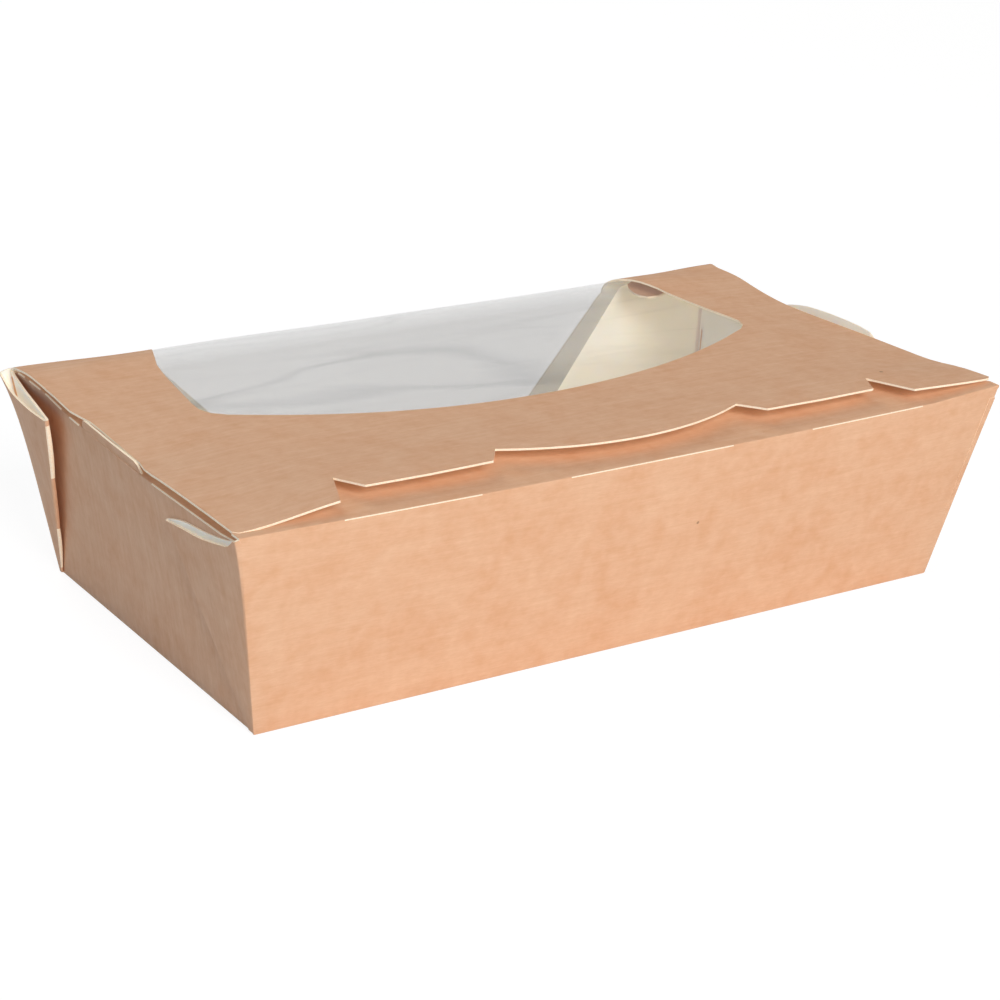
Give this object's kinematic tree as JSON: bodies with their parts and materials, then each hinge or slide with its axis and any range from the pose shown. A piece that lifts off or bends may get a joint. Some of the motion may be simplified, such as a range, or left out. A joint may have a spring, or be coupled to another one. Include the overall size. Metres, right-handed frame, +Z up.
{
  "type": "salad box",
  "caption": "Folded kraft board takeaway salad box with flared walls, web corners, a hinged lid and a clear film window that runs from the lid down the back wall.",
  "frame": {"origin": "middle of the base, on the surface that the box stands on", "axes": "+X along the box's length, -Y towards the front edge of the lid, +Y towards the lid's hinge fold, +Z up"},
  "size_m": [0.2048, 0.111, 0.052],
  "materials": {
    "kraft_board": "uncoated brown kraft outside, pale coated inside, pale cut edges",
    "clear_film": "clear glossy film"
  },
  "bodies": {
    "tray": {"tray": "kraft_board", "window_film_back": "clear_film"},
    "lid": {"lid": "kraft_board", "window_film_lid": "clear_film"}
  },
  "joints": [
    {"name": "lid_hinge", "type": "hinge", "parent": "tray", "child": "lid", "pos_m": [0, 0.0555, 0.0487], "axis": [-1, 0, 0], "range_deg": [0, 180]}
  ]
}
